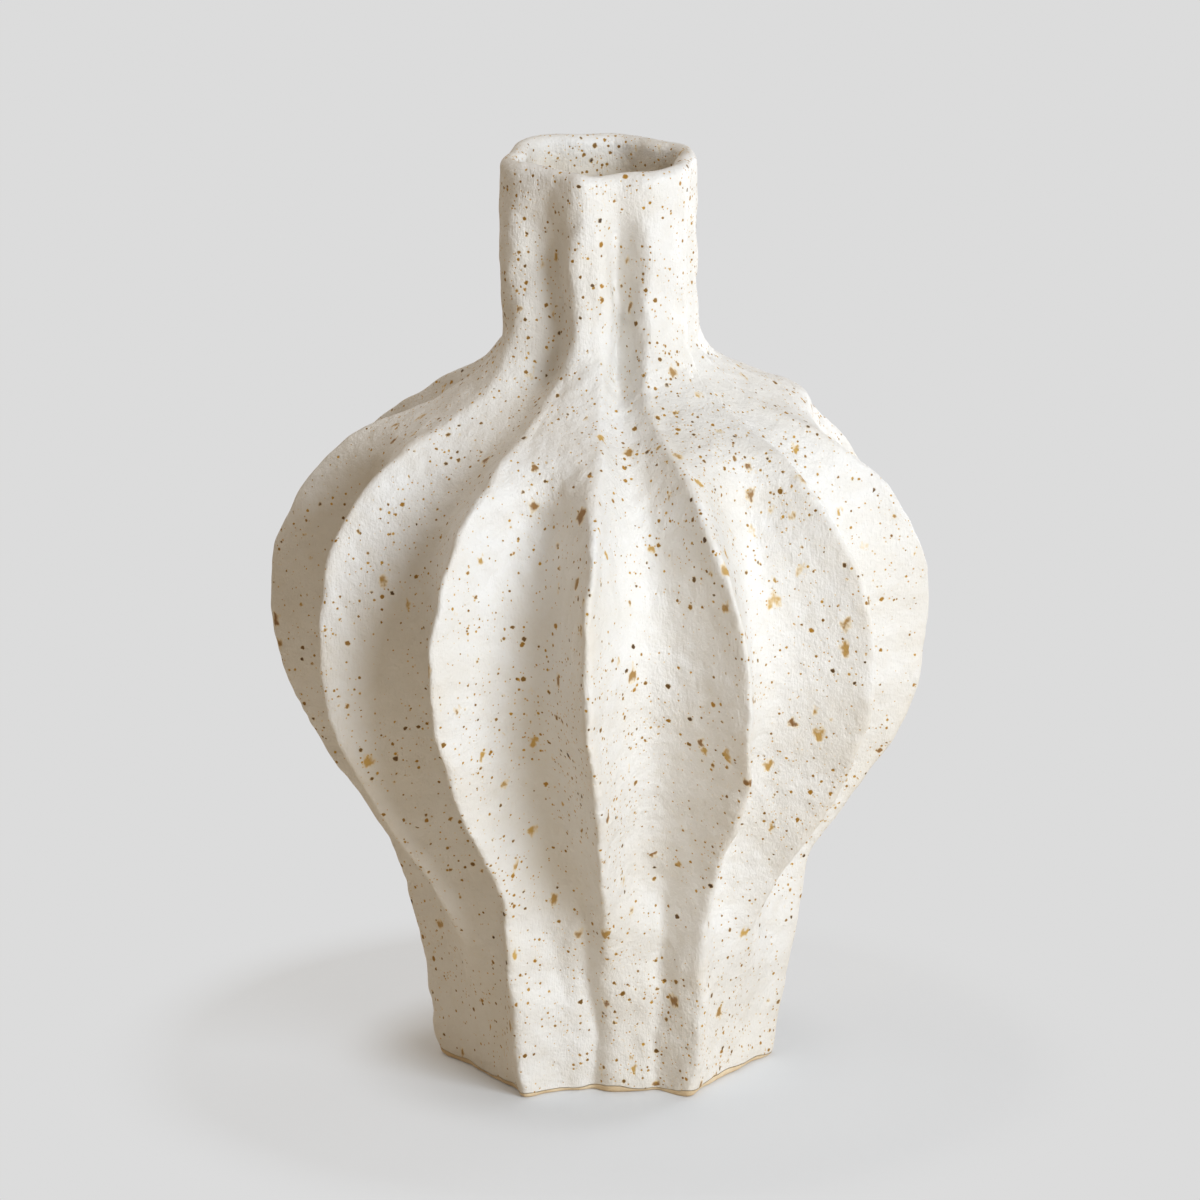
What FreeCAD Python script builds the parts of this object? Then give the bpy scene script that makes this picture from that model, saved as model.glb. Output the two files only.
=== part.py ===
"""Hand-built fan vase: twelve clay panels joined at pinched ridges, under a fluted neck.

The vase stands on z = 0 with its axis on +Z, and its front ridge points to -Y.
Ridges are numbered from the front one towards +X. Even ridges run up into the
neck's six flutes and sink into the foot's facets. Odd ridges run down to the
foot's six corners and end in the valleys between the flutes.
"""
import FreeCAD
import Part
import math
import os

Vector = FreeCAD.Vector

SIZES = {
    "vase_height": 280,
    "belly_radius": 99,
    "wall_thickness": 6,
    "ridge_thickness": 13,
    "slab_thickness": 7,
    "shoulder_height": 214,
    "lip_height": 9,
    "bead_depth": 1.6,
    "bead_least": 0.3,
    "bead_width": 3,
    "foot_offset": 1.8,
    "joint_coil_leg": 6,
    "joint_coil_fit": 0.1,
}

RIDGE_COUNT = 12
FULL_TURN = 360

# The tables give heights as shares of the vase height. Shares up to this one
# follow the height of the shoulder, where the panels end and the collar starts,
# and shares above it follow the length of the neck.
SHOULDER_SHARE = 0.7643

# Levels of the wall, from the table up. Each row holds the height share, and
# then, as shares of the belly radius, how far the odd ridges, the even ridges
# and the valleys between them stand from the axis.
LEVEL_SHARES = (
    (0.000, 0.520, 0.385, 0.390),
    (0.070, 0.565, 0.425, 0.415),
    (0.140, 0.595, 0.490, 0.445),
    (0.205, 0.625, 0.590, 0.480),
    (0.245, 0.665, 0.660, 0.510),
    (0.285, 0.745, 0.750, 0.555),
    (0.340, 0.855, 0.855, 0.620),
    (0.395, 0.935, 0.935, 0.690),
    (0.445, 0.980, 0.980, 0.740),
    (0.500, 1.000, 1.000, 0.765),
    (0.555, 0.985, 0.985, 0.755),
    (0.605, 0.940, 0.940, 0.715),
    (0.655, 0.850, 0.850, 0.645),
    (0.700, 0.695, 0.690, 0.535),
    (0.735, 0.490, 0.490, 0.400),
    (0.765, 0.370, 0.380, 0.292),
    (0.795, 0.322, 0.328, 0.255),
    (0.830, 0.310, 0.312, 0.246),
    (0.895, 0.310, 0.312, 0.248),
    (0.965, 0.315, 0.318, 0.268),
    (1.000, 0.318, 0.320, 0.280),
)

# How far the odd and the even ridges are smoothed away, from 0 for a pinched fin
# to 1 for a soft roll, and how much of the foot's own form is left, behind the
# height share.
SOFT_SHARES = (
    (0.000, 0.00, 1.00, 1.00),
    (0.140, 0.00, 0.75, 0.50),
    (0.205, 0.00, 0.35, 0.20),
    (0.285, 0.00, 0.00, 0.00),
    (0.640, 0.00, 0.00, 0.00),
    (0.670, 0.00, 0.20, 0.00),
    (0.700, 0.05, 0.60, 0.00),
    (0.735, 0.30, 0.90, 0.00),
    (0.765, 0.75, 1.00, 0.00),
    (0.795, 1.00, 1.00, 0.00),
    (1.000, 1.00, 1.00, 0.00),
)

# How strongly the wall is drawn in to the valley beside an even ridge, and in
# the panels whose two ridges grow together into one lobe of the neck, behind
# the height share. Beside odd ridges and in the other panels it is always 1.
DRAW_SHARES = (
    (0.000, 0.00, 1.00),
    (0.140, 0.25, 1.00),
    (0.205, 0.65, 1.00),
    (0.285, 1.00, 1.00),
    (0.640, 1.00, 1.00),
    (0.680, 1.00, 0.60),
    (0.720, 1.00, 0.15),
    (0.760, 1.00, 0.00),
    (1.000, 1.00, 0.00),
)

# Where each ridge stands, in degrees from the front towards +X, at six height
# shares. The ridges were pinched by hand, so they wander.
TURN_HEIGHT_SHARES = (0.00, 0.22, 0.50, 0.72, 0.80, 1.00)
TURN_DEGREES = (
    (2, 1, -2, -1, -1, -2),
    (31, 30, 26, 20, 24, 28),
    (58, 58, 54, 50, 55, 58),
    (90, 87, 85, 79, 88, 90),
    (119, 118, 119, 118, 118, 120),
    (149, 149, 149, 149, 150, 150),
    (180, 180, 180, 180, 180, 181),
    (211, 211, 211, 211, 210, 211),
    (242, 242, 241, 241, 240, 241),
    (270, 270, 270, 273, 272, 273),
    (304, 306, 304, 302, 302, 304),
    (331, 333, 331, 335, 343, 342),
)

# How far each ridge reaches at the same six heights, against its level.
REACH_SHARES = (
    (1.00, 1.00, 1.00, 1.00, 0.98, 0.98),
    (1.00, 1.00, 1.00, 1.00, 1.05, 1.05),
    (1.12, 1.00, 1.00, 1.00, 1.00, 1.00),
    (1.02, 1.01, 1.00, 1.00, 0.93, 0.93),
    (1.10, 1.00, 1.00, 1.03, 1.00, 1.00),
    (1.00, 1.00, 1.00, 1.03, 1.00, 1.00),
    (1.10, 1.00, 1.00, 1.00, 1.00, 1.00),
    (1.00, 1.00, 1.00, 1.03, 1.00, 1.00),
    (1.10, 1.00, 1.00, 1.03, 1.00, 1.00),
    (1.00, 0.97, 1.00, 1.00, 0.95, 1.00),
    (1.12, 1.00, 1.00, 1.00, 1.00, 1.04),
    (1.00, 1.00, 1.00, 1.00, 1.01, 1.01),
)

# How far the valley of each panel stands at the foot, against its level. The
# two front panels are hollow there, and the others are nearly flat.
FOOT_VALLEY_SHARES = (0.98, 1.13, 1.13, 1.10, 1.10, 1.10, 1.10, 1.10, 1.10, 1.13, 1.13, 0.98)

# The rim is level by eye only: how far it dips at each ridge, as a share of
# the lip height.
RIM_DIP_SHARES = (0.55, 0.45, 0.35, 0.25, 0.15, 0.10, 0.05, 0.00, 0.10, 0.20, 0.30, 0.45)

# Poles of a wall's outline stand at this share of the way from one ridge to
# the next.
HANDLE_SHARE = 0.4

# The lip turns over in steps: share of the way from its outer to its inner
# outline, and height as a share of the lip height.
LIP_STEP_SHARES = ((0.0, 0.0), (0.0, 0.45), (0.06, 0.8), (0.5, 1.0), (0.94, 0.8), (1.0, 0.45), (1.0, 0.0))

doc = FreeCAD.newDocument("fan_vase")


def make_sheet():
    """Write the driving sizes into a spreadsheet, one named cell each."""
    sheet = doc.addObject("Spreadsheet::Sheet", "sizes")
    for row, (name, value) in enumerate(SIZES.items(), start=1):
        sheet.set(f"A{row}", name)
        sheet.set(f"B{row}", str(value))
        sheet.setAlias(f"B{row}", name)
    doc.recompute()
    return sheet


sheet = make_sheet()
size = {name: float(getattr(sheet, name)) for name in SIZES}


def height_at(share):
    """Height of a place in the tables."""
    shoulder = size["shoulder_height"]
    if share <= SHOULDER_SHARE:
        return shoulder * share / SHOULDER_SHARE
    neck = size["vase_height"] - shoulder
    return shoulder + neck * (share - SHOULDER_SHARE) / (1 - SHOULDER_SHARE)


def share_at(height):
    """Place in the tables of a height, the other way round from height_at."""
    shoulder = size["shoulder_height"]
    if height <= shoulder:
        return SHOULDER_SHARE * height / shoulder
    neck = size["vase_height"] - shoulder
    return SHOULDER_SHARE + (1 - SHOULDER_SHARE) * (height - shoulder) / neck


def slope_at(places, values, row):
    """Slope of a table's smooth curve at one of its rows."""
    before = max(row - 1, 0)
    after = min(row + 1, len(places) - 1)
    return (values[after] - values[before]) / (places[after] - places[before])


def eased(places, values, place):
    """Value of a table between its rows, on a smooth curve through them."""
    row = 0
    while row < len(places) - 2 and place > places[row + 1]:
        row += 1
    gap = places[row + 1] - places[row]
    part = (place - places[row]) / gap
    rise = part * part * (3 - 2 * part)
    start_pull = part * (1 - part) ** 2 * gap * slope_at(places, values, row)
    end_pull = part * part * (part - 1) * gap * slope_at(places, values, row + 1)
    return values[row] + (values[row + 1] - values[row]) * rise + start_pull + end_pull


def from_table(table, column, share):
    """Value of one column of a table at a height share."""
    places = [row[0] for row in table]
    values = [row[column] for row in table]
    return eased(places, values, share)


class Ridge:
    """One ridge at one height: where its edge, its bead and the wall's poles stand."""

    def __init__(self, number, height):
        share = share_at(height)
        odd = number % 2 == 1
        self.number = number
        self.height = height
        self.turn = math.radians(eased(TURN_HEIGHT_SHARES, TURN_DEGREES[number], share))
        self.soft = min(max(from_table(SOFT_SHARES, 1 if odd else 2, share), 0), 1)
        reach = from_table(LEVEL_SHARES, 1 if odd else 2, share)
        reach *= eased(TURN_HEIGHT_SHARES, REACH_SHARES[number], share)
        self.radius = reach * size["belly_radius"]
        self.draw = 1 if odd else from_table(DRAW_SHARES, 1, share)
        self.foot = from_table(SOFT_SHARES, 3, share)
        self.centre = size["foot_offset"] * self.foot
        self.depth = max(size["bead_depth"] * (1 - self.soft), size["bead_least"])
        self.wall = size["ridge_thickness"] * (1 - self.soft) + size["wall_thickness"] * self.soft

    def point(self, radius, side=0):
        """Point at a radius on the ridge's own plane, or that far to the side of it."""
        x = self.centre + radius * math.sin(self.turn) + side * math.cos(self.turn)
        y = -radius * math.cos(self.turn) + side * math.sin(self.turn)
        return Vector(x, y, self.height)

    def shoulder(self, side):
        """Edge of the blunt seat that the bead sits on, side -1 or 1."""
        return self.point(self.radius - self.depth, side * size["bead_width"] / 2)

    def seat(self):
        """Middle of the blunt seat, where the two panels meet on the outside."""
        return self.point(self.radius - self.depth)

    def groove(self):
        """Place where the two panels meet on the inside."""
        return self.point(self.radius - self.wall)

    def nose(self):
        """Poles of the bead's rounded outline, from one shoulder to the other."""
        reach = self.radius + self.depth / 3
        low = self.point(reach, -size["bead_width"] / 2)
        high = self.point(reach, size["bead_width"] / 2)
        return [self.shoulder(-1), low, high, self.shoulder(1)]


def ridges_at(height):
    """The twelve ridges at one height, and the first one again a full turn on."""
    ring = [Ridge(number, height) for number in range(RIDGE_COUNT)]
    last = Ridge(0, height)
    last.turn += math.radians(FULL_TURN)
    return ring + [last]


def polar(ridge, radius, turn):
    """Point at a radius and a turn around the wall's own centre."""
    x = ridge.centre + radius * math.sin(turn)
    return Vector(x, -radius * math.cos(turn), ridge.height)


def wall_poles(first, second, start, end, inset):
    """Poles of the wall's outline between two ridges, drawn in to the valley.

    A cubic's middle is an eighth of each end pole and three eighths of each
    middle pole, so the middle poles are worked back from the valley. Where the
    draw fades, they stand out level with their ridges instead. The panels that
    fade in the neck are those that start at an odd ridge.
    """
    share = share_at(first.height)
    span = second.turn - first.turn
    reach = 1 + (FOOT_VALLEY_SHARES[first.number] - 1) * first.foot
    valley = from_table(LEVEL_SHARES, 3, share) * reach * size["belly_radius"] - inset
    hold = from_table(DRAW_SHARES, 2, share) if first.number % 2 == 1 else 1
    first_radius = math.hypot(start.x - first.centre, start.y)
    second_radius = math.hypot(end.x - second.centre, end.y)
    ends = (first_radius + second_radius) * math.cos(span / 2) / 8
    pull = (valley - ends) * 4 / 3 / math.cos(span * (0.5 - HANDLE_SHARE))
    level = 1 / math.cos(span * HANDLE_SHARE)
    low = first_radius * level + (pull - first_radius * level) * first.draw * hold
    high = second_radius * level + (pull - second_radius * level) * second.draw * hold
    near = polar(first, low, first.turn + span * HANDLE_SHARE)
    far = polar(first, high, second.turn - span * HANDLE_SHARE)
    return [start, near, far, end]


def outer_side(first, second):
    """Poles of the outside of the wall between two ridges."""
    return wall_poles(first, second, first.shoulder(1), second.shoulder(-1), 0)


def inner_side(first, second):
    """Poles of the inside of the wall between two ridges."""
    return wall_poles(first, second, first.groove(), second.groove(), size["wall_thickness"])


def outer_outline(height):
    """Sides of the whole outside at one height: each panel, then the next ridge's bead."""
    ring = ridges_at(height)
    sides = []
    for first, second in zip(ring, ring[1:]):
        sides.append(outer_side(first, second))
        sides.append(second.nose())
    return sides


def inner_outline(height):
    """Sides of the whole inside at one height."""
    ring = ridges_at(height)
    return [inner_side(first, second) for first, second in zip(ring, ring[1:])]


def rising_curve(points, steps):
    """Smooth curve through one point per step. Curves with the same steps match."""
    curve = Part.BSplineCurve()
    if len(points) == 2:
        curve.buildFromPolesMultsKnots(points, [2, 2], [0, 1], False, 1)
        return curve
    curve.interpolate(Points=points, Parameters=steps)
    return curve


def skin(outlines, steps):
    """Faces that carry the outlines' sides up from each outline to the next."""
    faces = []
    for rows in zip(*outlines):
        curves = [rising_curve(list(points), steps) for points in zip(*rows)]
        degree = len(curves) - 1
        ends = [degree + 1, degree + 1]
        surface = Part.BSplineSurface()
        surface.buildFromPolesMultsKnots(
            [curve.getPoles() for curve in curves], ends, curves[0].getMultiplicities(),
            [0, 1], curves[0].getKnots(), False, False, degree, curves[0].Degree)
        faces.append(surface.toShape())
    return faces


def outline_wire(sides):
    """Closed wire along an outline's sides."""
    edges = []
    for poles in sides:
        curve = Part.BezierCurve()
        curve.setPoles(poles)
        edges.append(curve.toShape())
    return Part.Wire(edges)


def flat_face(outer, inner=None):
    """Level face inside an outline, or between two outlines."""
    wires = [outline_wire(outer)]
    if inner:
        wires.append(outline_wire(inner))
    return Part.makeFace(wires, "Part::FaceMakerBullseye")


def closed_solid(faces):
    """Solid inside faces that meet edge to edge."""
    shell = Part.makeShell(faces)
    shell.sewShape()
    solid = Part.makeSolid(shell)
    if solid.Volume < 0:
        solid.reverse()
    return solid


def levels_between(low, high):
    """Heights of the wall's levels inside a range, with both ends of the range."""
    inside = [height_at(row[0]) for row in LEVEL_SHARES]
    margin = size["bead_width"]
    inside = [height for height in inside if low + margin < height < high - margin]
    return [low] + inside + [high]


def add_piece(name, shape):
    """Put a finished shape in the document under its own name."""
    piece = doc.addObject("Part::Feature", name)
    piece.Label = name
    piece.Shape = shape
    piece.Placement = FreeCAD.Placement()
    return piece


def base_slab():
    """Flat star-shaped slab that the walls stand on."""
    steps = [0, size["slab_thickness"]]
    outlines = [outer_outline(height) for height in steps]
    caps = [flat_face(outlines[0]), flat_face(outlines[-1])]
    return closed_solid(skin(outlines, steps) + caps)


def panel_outline(number, height):
    """Outline of one panel: outside, half seat, joint, inside, joint and half seat."""
    first, second = ridges_at(height)[number:number + 2]
    inside = inner_side(first, second)
    return [
        outer_side(first, second),
        [second.shoulder(-1), second.seat()],
        [second.seat(), second.groove()],
        inside[::-1],
        [first.groove(), first.seat()],
        [first.seat(), first.shoulder(1)],
    ]


def fan_panel(number):
    """One leaf-shaped panel of the wall, from the slab up to the neck."""
    steps = levels_between(size["slab_thickness"], size["shoulder_height"])
    outlines = [panel_outline(number, height) for height in steps]
    caps = [flat_face(outlines[0]), flat_face(outlines[-1])]
    return closed_solid(skin(outlines, steps) + caps)


def ridge_bead(number):
    """Thin rounded coil pressed along the joint of two panels."""
    steps = levels_between(size["slab_thickness"], size["shoulder_height"])
    outlines = []
    for height in steps:
        ridge = Ridge(number, height)
        outlines.append([ridge.nose(), [ridge.shoulder(1), ridge.shoulder(-1)]])
    caps = [flat_face(outlines[0]), flat_face(outlines[-1])]
    return closed_solid(skin(outlines, steps) + caps)


def neck_collar():
    """Fluted tube that stands on the panels' upper ends."""
    low = size["shoulder_height"]
    high = size["vase_height"] - size["lip_height"]
    steps = levels_between(low, high)
    outer = [outer_outline(height) for height in steps]
    inner = [inner_outline(height) for height in steps]
    caps = [flat_face(outer[0], inner[0]), flat_face(outer[-1], inner[-1])]
    return closed_solid(skin(outer, steps) + skin(inner, steps) + caps)


def blend_sides(outer, inner, part, rise):
    """Sides part of the way from the outer outline to the inner one, lifted by a rise."""
    sides = []
    for outer_poles, inner_poles, lift in zip(outer, inner, rise):
        blended = [a + (b - a) * part for a, b in zip(outer_poles, inner_poles)]
        sides.append([pole + Vector(0, 0, up) for pole, up in zip(blended, lift)])
    return sides


def plain_outline(height, inside):
    """Outer or inner outline with one side per panel, for the lip."""
    ring = ridges_at(height)
    sides = []
    for first, second in zip(ring, ring[1:]):
        if inside:
            sides.append(inner_side(first, second))
        else:
            start, end = first.point(first.radius), second.point(second.radius)
            sides.append(wall_poles(first, second, start, end, 0))
    return sides


def lip_rise(part):
    """Lift of each side's poles at a share of the lip's height, less the rim's dips."""
    dips = list(RIM_DIP_SHARES) + [RIM_DIP_SHARES[0]]
    rises = []
    for start, end in zip(dips, dips[1:]):
        shares = [start + (end - start) * along for along in (0, HANDLE_SHARE, 1 - HANDLE_SHARE, 1)]
        rises.append([size["lip_height"] * part * (1 - dip) for dip in shares])
    return rises


def lip_coil():
    """Rounded coil that finishes the rim, wavy on top."""
    low = size["vase_height"] - size["lip_height"]
    outer = plain_outline(low, False)
    inner = plain_outline(low, True)
    outlines = [blend_sides(outer, inner, part, lip_rise(up)) for part, up in LIP_STEP_SHARES]
    steps = list(range(len(outlines)))
    return closed_solid(skin(outlines, steps) + [flat_face(outer, inner)])


def shrink(sides, distance, centre):
    """Outline drawn in towards the wall's centre by a distance."""
    drawn = []
    for poles in sides:
        row = []
        for pole in poles:
            out = Vector(pole.x - centre, pole.y, 0)
            out.normalize()
            row.append(pole - out * distance)
        drawn.append(row)
    return drawn


def floor_joint_coil():
    """Coil smoothed into the corner between the slab and the panels, inside."""
    low = size["slab_thickness"]
    leg = size["joint_coil_leg"]
    fit = size["joint_coil_fit"]
    ring = ridges_at(low)
    foot = inner_outline(low)
    head = inner_outline(low + leg)
    corner = shrink(foot, fit, ring[0].centre)
    top = shrink(head, fit, ring[0].centre)
    toe = shrink(foot, leg, ring[0].centre)
    faces = skin([corner, top], [0, 1]) + skin([top, toe], [0, 1])
    return closed_solid(faces + [flat_face(corner, toe)])


def make_pieces():
    """All pieces of the vase, each a solid of its own."""
    pieces = [
        add_piece("base_slab", base_slab()),
        add_piece("floor_joint_coil", floor_joint_coil()),
        add_piece("neck_collar", neck_collar()),
        add_piece("lip_coil", lip_coil()),
    ]
    for number in range(RIDGE_COUNT):
        pieces.append(add_piece(f"fan_panel_{number + 1:02d}", fan_panel(number)))
        pieces.append(add_piece(f"ridge_bead_{number + 1:02d}", ridge_bead(number)))
    return pieces


def check_piece(piece):
    """Stop the build if a piece is missing, broken or not one closed solid."""
    if "Invalid" in piece.State or "Error" in piece.State:
        raise RuntimeError(f"{piece.Label} is not computed")
    if piece.Shape.isNull() or not piece.Shape.isValid():
        raise RuntimeError(f"{piece.Label} has a broken shape")
    if len(piece.Shape.Solids) != 1 or piece.Shape.Volume <= 0:
        raise RuntimeError(f"{piece.Label} is not one solid")


pieces = make_pieces()
doc.recompute()
os.makedirs("parts", exist_ok=True)
for piece in pieces:
    check_piece(piece)
    piece.Shape.exportStep(f"parts/{piece.Label}.step")
    print(f"{piece.Label}: {piece.Shape.Volume:.0f} mm3")
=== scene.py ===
"""Looks of the hand-built fan vase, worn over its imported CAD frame.

The wall's form is one family of curves: at every height the outline runs from
ridge to ridge in Bezier arcs whose ends, depth and softness come from tables of
shares. Panels, beads, slab, collar and lip are all cut from that one form, so
their edges meet, and one field of small shifts then gives them all the same
touch of the hand.
"""

import logging
import math
from dataclasses import dataclass, field
from enum import Enum

import bpy
import numpy as np
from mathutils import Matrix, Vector


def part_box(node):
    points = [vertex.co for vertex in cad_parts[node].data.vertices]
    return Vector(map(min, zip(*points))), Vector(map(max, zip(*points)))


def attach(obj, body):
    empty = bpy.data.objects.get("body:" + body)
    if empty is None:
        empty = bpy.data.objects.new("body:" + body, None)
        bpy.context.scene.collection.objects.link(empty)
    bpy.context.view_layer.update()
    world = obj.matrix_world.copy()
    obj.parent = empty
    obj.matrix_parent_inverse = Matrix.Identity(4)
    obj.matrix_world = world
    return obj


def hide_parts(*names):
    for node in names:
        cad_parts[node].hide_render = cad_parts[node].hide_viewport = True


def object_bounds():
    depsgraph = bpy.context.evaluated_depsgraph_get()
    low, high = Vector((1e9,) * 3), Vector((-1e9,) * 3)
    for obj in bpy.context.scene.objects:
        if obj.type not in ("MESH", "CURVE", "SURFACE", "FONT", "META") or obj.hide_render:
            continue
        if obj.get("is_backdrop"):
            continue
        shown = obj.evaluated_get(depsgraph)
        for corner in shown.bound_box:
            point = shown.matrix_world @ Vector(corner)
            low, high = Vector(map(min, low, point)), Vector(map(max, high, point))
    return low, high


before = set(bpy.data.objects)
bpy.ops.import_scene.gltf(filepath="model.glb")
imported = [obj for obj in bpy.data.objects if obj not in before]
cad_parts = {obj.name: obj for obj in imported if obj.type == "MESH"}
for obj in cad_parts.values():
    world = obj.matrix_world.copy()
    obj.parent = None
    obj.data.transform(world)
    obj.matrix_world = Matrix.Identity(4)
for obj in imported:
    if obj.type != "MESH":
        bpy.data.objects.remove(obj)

logging.basicConfig(level=logging.INFO, format="%(message)s")
log = logging.getLogger("fan_vase")

Array = np.ndarray
Angles = tuple[float, float]
Band = tuple[float, float]
Colour = tuple[float, float, float]
Rgba = tuple[float, float, float, float]
Socket = bpy.types.NodeSocket

BODY = "root"
MM = 0.001
FULL_TURN = 2 * math.pi
RIDGE_COUNT = 12
TINY = 1e-12

# Heights as shares of the vase height, then the reach of the odd ridges, of the
# even ridges and of the valleys, as shares of the belly radius.
LEVEL_SHARES = np.array([
    (0.000, 0.520, 0.385, 0.390),
    (0.070, 0.565, 0.425, 0.415),
    (0.140, 0.595, 0.490, 0.445),
    (0.205, 0.625, 0.590, 0.480),
    (0.245, 0.665, 0.660, 0.510),
    (0.285, 0.745, 0.750, 0.555),
    (0.340, 0.855, 0.855, 0.620),
    (0.395, 0.935, 0.935, 0.690),
    (0.445, 0.980, 0.980, 0.740),
    (0.500, 1.000, 1.000, 0.765),
    (0.555, 0.985, 0.985, 0.755),
    (0.605, 0.940, 0.940, 0.715),
    (0.655, 0.850, 0.850, 0.645),
    (0.700, 0.695, 0.690, 0.535),
    (0.735, 0.490, 0.490, 0.400),
    (0.765, 0.370, 0.380, 0.292),
    (0.795, 0.322, 0.328, 0.255),
    (0.830, 0.310, 0.312, 0.246),
    (0.895, 0.310, 0.312, 0.248),
    (0.965, 0.315, 0.318, 0.268),
    (1.000, 0.318, 0.320, 0.280),
])

# Heights, then how far odd and even ridges are smoothed away, and how much of
# the foot's own form is left.
SOFT_SHARES = np.array([
    (0.000, 0.00, 1.00, 1.00),
    (0.140, 0.00, 0.75, 0.50),
    (0.205, 0.00, 0.35, 0.20),
    (0.285, 0.00, 0.00, 0.00),
    (0.640, 0.00, 0.00, 0.00),
    (0.670, 0.00, 0.20, 0.00),
    (0.700, 0.05, 0.60, 0.00),
    (0.735, 0.30, 0.90, 0.00),
    (0.765, 0.75, 1.00, 0.00),
    (0.795, 1.00, 1.00, 0.00),
    (1.000, 1.00, 1.00, 0.00),
])

# Heights, then how strongly the wall is drawn in to the valley beside an even
# ridge, and in the panels whose two ridges grow together in the neck.
DRAW_SHARES = np.array([
    (0.000, 0.00, 1.00),
    (0.140, 0.25, 1.00),
    (0.205, 0.65, 1.00),
    (0.285, 1.00, 1.00),
    (0.640, 1.00, 1.00),
    (0.680, 1.00, 0.60),
    (0.720, 1.00, 0.15),
    (0.760, 1.00, 0.00),
    (1.000, 1.00, 0.00),
])

# Where each ridge stands at six heights, in degrees from the front towards +X,
# and how far it reaches there against its level.
TURN_HEIGHT_SHARES = np.array((0.00, 0.22, 0.50, 0.72, 0.80, 1.00))
TURN_DEGREES = np.array([
    (2, 1, -2, -1, -1, -2),
    (31, 30, 26, 20, 24, 28),
    (58, 58, 54, 50, 55, 58),
    (90, 87, 85, 79, 88, 90),
    (119, 118, 119, 118, 118, 120),
    (149, 149, 149, 149, 150, 150),
    (180, 180, 180, 180, 180, 181),
    (211, 211, 211, 211, 210, 211),
    (242, 242, 241, 241, 240, 241),
    (270, 270, 270, 273, 272, 273),
    (304, 306, 304, 302, 302, 304),
    (331, 333, 331, 335, 343, 342),
])
REACH_SHARES = np.array([
    (1.00, 1.00, 1.00, 1.00, 0.98, 0.98),
    (1.00, 1.00, 1.00, 1.00, 1.05, 1.05),
    (1.12, 1.00, 1.00, 1.00, 1.00, 1.00),
    (1.02, 1.01, 1.00, 1.00, 0.93, 0.93),
    (1.10, 1.00, 1.00, 1.03, 1.00, 1.00),
    (1.00, 1.00, 1.00, 1.03, 1.00, 1.00),
    (1.10, 1.00, 1.00, 1.00, 1.00, 1.00),
    (1.00, 1.00, 1.00, 1.03, 1.00, 1.00),
    (1.10, 1.00, 1.00, 1.03, 1.00, 1.00),
    (1.00, 0.97, 1.00, 1.00, 0.95, 1.00),
    (1.12, 1.00, 1.00, 1.00, 1.00, 1.04),
    (1.00, 1.00, 1.00, 1.00, 1.01, 1.01),
])

# How far the valley of each panel stands at the foot, against its level.
FOOT_VALLEY_SHARES = np.array((0.98, 1.13, 1.13, 1.10, 1.10, 1.10, 1.10, 1.10, 1.10, 1.13, 1.13, 0.98))

# How far the rim dips at each ridge, as a share of the lip height.
RIM_DIP_SHARES = np.array((0.55, 0.45, 0.35, 0.25, 0.15, 0.10, 0.05, 0.00, 0.10, 0.20, 0.30, 0.45))


def slopes(places: Array, values: Array) -> Array:
    """Slope at each row of a table: the run between its two neighbours.

    Args:
        places: Heights of the rows, rising.
        values: Value at each row.

    Returns:
        One slope per row.
    """
    before = np.maximum(np.arange(len(places)) - 1, 0)
    after = np.minimum(np.arange(len(places)) + 1, len(places) - 1)
    return (values[after] - values[before]) / (places[after] - places[before])


def eased(places: Array, values: Array, at: Array) -> Array:
    """Cubic curve through a table: each gap is a Hermite piece with the rows' slopes.

    Args:
        places: Heights of the rows, rising.
        values: Value at each row.
        at: Heights to read the curve at.

    Returns:
        The curve's value at each height.
    """
    row = np.clip(np.searchsorted(places, at, side="left") - 1, 0, len(places) - 2)
    gap = places[row + 1] - places[row]
    part = (at - places[row]) / gap
    pull = slopes(places, values)
    rise = part * part * (3 - 2 * part)
    start = part * (1 - part) ** 2 * gap * pull[row]
    end = part * part * (part - 1) * gap * pull[row + 1]
    return values[row] + (values[row + 1] - values[row]) * rise + start + end


def ramp(low: float, high: float, value: Array) -> Array:
    """Smooth step: 0 up to low, 1 from high on, and 3t^2 - 2t^3 between."""
    part = np.clip((value - low) / (high - low), 0, 1)
    return part * part * (3 - 2 * part)


def column_at(table: Array, column: int, share: Array) -> Array:
    """One column of a table of shares, eased from row to row, at each height share."""
    return eased(table[:, 0], table[:, column], share)


def stepped(steps: int) -> Array:
    """Even shares of a length, from 0 up to but without 1."""
    return np.linspace(0, 1, steps + 1)[:-1]


def bezier(steps: int, poles: Array) -> Array:
    """Cubic Bezier curves in even steps, without their last points.

    Each point is the sum of the four poles, weighted by r^3, 3tr^2, 3t^2r and
    t^3, where t is the share of the way along and r is what is left of it.

    Args:
        steps: Points along each curve.
        poles: Poles, shape (n, 4, 3).

    Returns:
        Points, shape (n, steps, 3).
    """
    along = stepped(steps)
    rest = 1 - along
    weights = np.stack([rest**3, 3 * along * rest**2, 3 * along**2 * rest, along**3], -1)
    return np.einsum("ap,hpc->hac", weights, poles)


def around(centre: Array, radius: Array, turn: Array, heights: Array) -> Array:
    """Points at a radius and a turn from the front, round centres on the X axis, shape (n, 3)."""
    return np.stack([centre + radius * np.sin(turn), -radius * np.cos(turn), heights], -1)


def outward(points: Array, centre: float = 0.0) -> Array:
    """Level unit vectors that point away from an upright axis, which stands at a place on X."""
    away = points[..., :2] - np.array([centre, 0.0])
    return away / np.linalg.norm(away, axis=-1, keepdims=True)


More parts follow.
